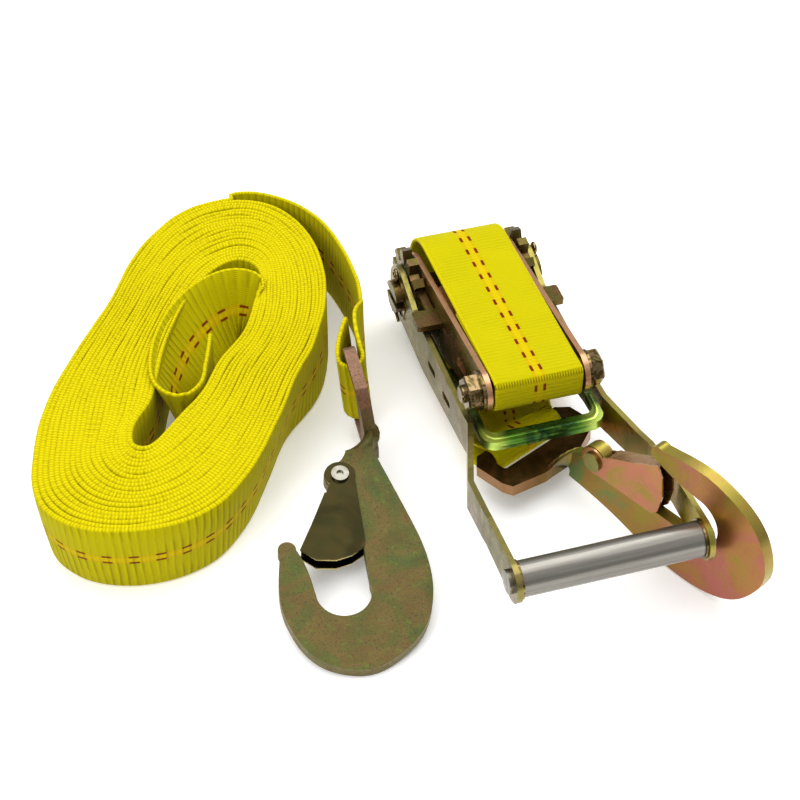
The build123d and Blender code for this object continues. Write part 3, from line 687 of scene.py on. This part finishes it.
low = [Vector((0, 0, 2.5)), Vector((0, -14, 2.5)), Vector((0, -30, 2.5)), Vector((-0.5, -58, 3.0)),
       Vector((-1.2, -84, 4.6)), R_BAR - R_RING * 10 - Z * 8.4]
low_up = [X, X, X, X, (X * 2 + R_DIR).normalized(), R_DIR]
r_under = R_RING.cross(R_DIR).normalized()
if r_under.z > 0:
    r_under = r_under * -1
low += round_bar(R_BAR, r_under, R_RING)
low_up += [R_DIR] * (BAR_STEPS + 1)
low += [R_BAR - R_RING * 8 - r_under * 5.4, Vector((-6.0, -100, 12.5)), Vector((-3.2, -90, 8.2)),
        Vector((-2.0, -80, 7.2))]
low_up += [R_DIR, (X + R_DIR).normalized(), X, X]
low_path = catmull(low, PER)
low_path, low_up = even(low_path, STEP, spread(low_up, PER, len(low_path)))
low_strap = strip("short_strap_under", low_path, low_up, width=49.4, mat=M["web_flat"], ragged=0.12, seed=7)
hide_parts("short_strap_lower")
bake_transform(low_strap)

# ------------------------------------------------------------------ long strap
TURNS = 21
FIRST = 0.125             # part of a turn already behind the coil's first point
MID_Z = 25.0              # height of the coil's centre line
LEAN_Z = 7.0              # rise of the centre line where the strip leans over
THICK = 2.3
LONG_PER = 8              # steps between the points of the inner end and of the tail
OUT = [(-114, 95), (-92, 83), (-79, 56), (-77, 22), (-84, -12), (-99, -44), (-118, -72), (-138, -105), (-158, -133),
       (-182, -154), (-210, -162), (-240, -157), (-262, -142), (-271, -116), (-261, -72), (-245, -38), (-224, -7),
       (-204, 21), (-185, 52), (-165, 76), (-141, 92)]
HOLE = [(-125, 36), (-116, 24), (-124, 2), (-138, -24), (-156, -42), (-170, -62), (-187, -80), (-204, -96),
        (-213, -91), (-208, -76), (-195, -61), (-186, -41), (-177, -19), (-163, 5), (-144, 28)]


def loop_table(pts, n=720):
    """n points evenly round a closed outline."""
    c = catmull([Vector((x, y, 0)) for x, y in pts], 24, closed=True)
    c.append(c[0].copy())
    s = lengths(c)
    q = np.linspace(0, s[-1], n, endpoint=False)
    return np.interp(q, s, [p.x for p in c]), np.interp(q, s, [p.y for p in c])


def ring_at(tab, s):
    x, y = tab
    f = (s % 1.0) * len(x)
    i = int(f) % len(x)
    j = (i + 1) % len(x)
    t = f - int(f)
    return Vector((x[i] * (1 - t) + x[j] * t, y[i] * (1 - t) + y[j] * t, 0))


outer, hole = loop_table(OUT), loop_table(HOLE)


def coil_point(turns):
    """Centre of the strip after so many turns from the middle, its outward direction, how far out it is
    (0 to 1), and its thickness there, which closes the gap to the next turn."""
    share = turns / TURNS
    a, b = ring_at(hole, turns), ring_at(outer, turns)
    gap = (b - a).length / TURNS
    out = (b - a).normalized()
    a = a + out * 1.6
    b = b - out * 1.4
    return a + (b - a) * share, out, share, min(max(gap * 0.96 / THICK, 0.85), 1.5)


# each point has its place, the direction across the strip, its outward direction, and facts: 1 in the
# coil, how far out it is, and the factor on its thickness
pts, ups, outs, facts = [], [], [], []


def add(p, up, out=Vector((0, 0, 0)), fact=(0.0, 0.0, 1.0)):
    pts.append(p)
    ups.append(up)
    outs.append(out)
    facts.append(Vector(fact))


# the loose end in the middle leans over: (x, y, lean)
inner = [(-155, -22, 0), (-159, -34, 0), (-164, -47, 0), (-171, -58, 0.1), (-180, -62, 0.2), (-184.5, -54, 0.35),
         (-182, -41, 0.5), (-174, -23, 0.62), (-162.5, -5, 0.68), (-148.5, 9, 0.68), (-134, 17, 0.55),
         (-124, 16, 0.28), (-120.3, 10, 0.1)]
inner_path = catmull([Vector((x, y, MID_Z + LEAN_Z * k)) for x, y, k in inner], LONG_PER)
inner_lean = spread([k for x, y, k in inner], LONG_PER, len(inner_path))
for i, (p, k) in enumerate(zip(inner_path, inner_lean)):
    t = heading(inner_path, i).normalized()
    add(p, Vector((-t.y * k, t.x * k, 1)).normalized())

steps = int((TURNS - FIRST) * 150)
for i in range(steps + 1):
    p, out, share, fat = coil_point(FIRST + (TURNS - FIRST) * i / steps)
    add(p + Vector((0, 0, MID_Z)), Z, out, (1.0, share, fat))

# the tail goes round the outside, turns down and folds round the left ring's bar
tail = [(-114, 97.6, 0), (-97.5, 93.2, 0), (-81, 78.7, 0), (-69.5, 57, 0), (-64.7, 27, 0), (-64.7, -4, 0.15),
        (-69.5, -28, 0.5)]
tail_pts = [Vector((x, y, MID_Z + LEAN_Z * k)) for x, y, k in tail]
tail_up = [(Z * (1 - k) + L_UP * k).normalized() for x, y, k in tail]
tail_pts += [L_BAR - LU * 20 + L_SIDE * (LOOP + 1.0), L_BAR - LU * 6 + L_SIDE * (LOOP + 0.1)]
tail_pts += round_bar(L_BAR, L_SIDE, LU)
tail_pts += [L_BAR - LU * 7 - L_SIDE * 5.6, L_BAR - LU * 17 - L_SIDE * 1.5, L_BAR - LU * 26 + L_SIDE * 3.6]
tail_up += [L_UP] * (len(tail_pts) - len(tail))
# the curve starts a few points back in the coil, so that it joins it smoothly
tail_path = catmull([pts[-6], *tail_pts], LONG_PER)[LONG_PER:]
for p, up in zip(tail_path, spread(tail_up, LONG_PER, len(tail_path))):
    add(p, up, fact=(-1.0, 1.0, 1.0))

pts, ups, facts, outs = even(pts, 2.9, ups, facts, outs)


def coil_tuck(i, a):
    """The wall leans in toward its foot where it faces the front, and every turn sits a little differently."""
    in_coil, share = facts[i].x, facts[i].y
    if in_coil <= 0 or outs[i].length < 0.5:
        return Vector((0, 0, 0))
    p, d = pts[i], outs[i].normalized()
    front = smooth(((-d.y) - 0.05) / 0.75)
    low = (0.5 - a / 50.0)
    q = -d * (9.0 * front * share * low ** 1.25)
    q += d * (noise.noise(Vector((p.x * 0.03, p.y * 0.03, share * 40))) * 0.35)
    top = smooth((a + 5) / 25)
    bow = noise.noise(Vector((p.x * 0.012, p.y * 0.012, 3.1 + share * 2.4))) * 1.3
    bump = noise.noise(Vector((p.x * 0.05, p.y * 0.05, share * 31 + 2))) * 0.9
    q += Vector((0, 0, (bow + bump - 0.6 - 1.1 * (1 - share)) * top))
    return q


long_strap = strip("long_strap", pts, ups, width=49.6, mat=M["web_coil"], thick=THICK, across=6, ragged=0.26,
                   seed=1, tuck=coil_tuck, swell=[q.z for q in facts])
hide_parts("long_strap_coil", "long_strap_tail", "long_strap_inner_end")
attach(long_strap, "long_strap")
print("long strap length mm", long_strap["length_mm"], "short", base_strap["length_mm"], low_strap["length_mm"])

# ------------------------------------------------------------------ stage, light and camera
HALF_FLOOR, FLOOR_Z = 4, -0.0005
floor_me = bpy.data.meshes.new("floor")
floor_me.from_pydata([(x * HALF_FLOOR, y * HALF_FLOOR, FLOOR_Z) for x, y in ((-1, -1), (1, -1), (1, 1), (-1, 1))],
                     [], [(0, 1, 2, 3)])
floor = bpy.data.objects.new("floor", floor_me)
bpy.context.collection.objects.link(floor)
paper = Graph("floor_paper")
for socket, value in (("Base Color", (0.93, 0.93, 0.925, 1)), ("Roughness", 0.95), ("Specular IOR Level", 0.05),
                      ("Emission Color", (1, 1, 1, 1)), ("Emission Strength", 0.22)):
    paper.b.inputs[socket].default_value = value
floor_me.materials.append(paper.mat)

# a pale sky: grey at the horizon, white overhead
world = bpy.data.worlds.new("studio")
scene.world = world
world.use_nodes = True
wt = world.node_tree
bg = wt.nodes["Background"]
tc = wt.nodes.new("ShaderNodeTexCoord")
sep = wt.nodes.new("ShaderNodeSeparateXYZ")
wt.links.new(tc.outputs["Generated"], sep.inputs[0])
sky = wt.nodes.new("ShaderNodeValToRGB")
for stop, (position, grey) in zip(sky.color_ramp.elements, ((0.0, 0.12), (0.75, 1))):
    stop.position = position
    stop.color = (grey, grey, grey, 1)
wt.links.new(sep.outputs[2], sky.inputs[0])
wt.links.new(sky.outputs[0], bg.inputs["Color"])
bg.inputs["Strength"].default_value = 0.85


def area(name, loc, target, size, energy):
    d = bpy.data.lights.new(name, "AREA")
    d.energy = energy
    d.size = size
    o = bpy.data.objects.new(name, d)
    bpy.context.collection.objects.link(o)
    o.location = Vector(loc)
    o.rotation_mode = "QUATERNION"
    o.rotation_quaternion = (Vector(target) - Vector(loc)).to_track_quat("-Z", "Y")


area("top", (0.0, 0.25, 1.6), (0, 0, 0), 1.6, 16)
area("key", (-0.9, -0.7, 1.1), (0, 0, 0.03), 0.7, 9)
area("rim", (0.9, 0.6, 0.9), (0.05, 0, 0.03), 0.6, 6)

# the photo's view: its azimuth, elevation and place were solved from the photo
az, el = math.radians(16.93), math.radians(42.40)
CAMERA_AT = (-334.3, -970.1, 875.7)
cam = bpy.data.cameras.new("camera")
cam.sensor_width = 36
cam.lens = 103.5
cam.clip_start, cam.clip_end = 0.05, 20
cam_o = bpy.data.objects.new("camera", cam)
bpy.context.collection.objects.link(cam_o)
ahead = Vector((math.sin(az) * math.cos(el), math.cos(az) * math.cos(el), -math.sin(el)))
right = Vector((math.cos(az), -math.sin(az), 0))
view = Matrix((right, right.cross(ahead), -ahead)).transposed().to_4x4()
view.translation = W(CAMERA_AT)
cam_o.matrix_world = view
scene.camera = cam_o
scene.view_settings.view_transform = "Standard"
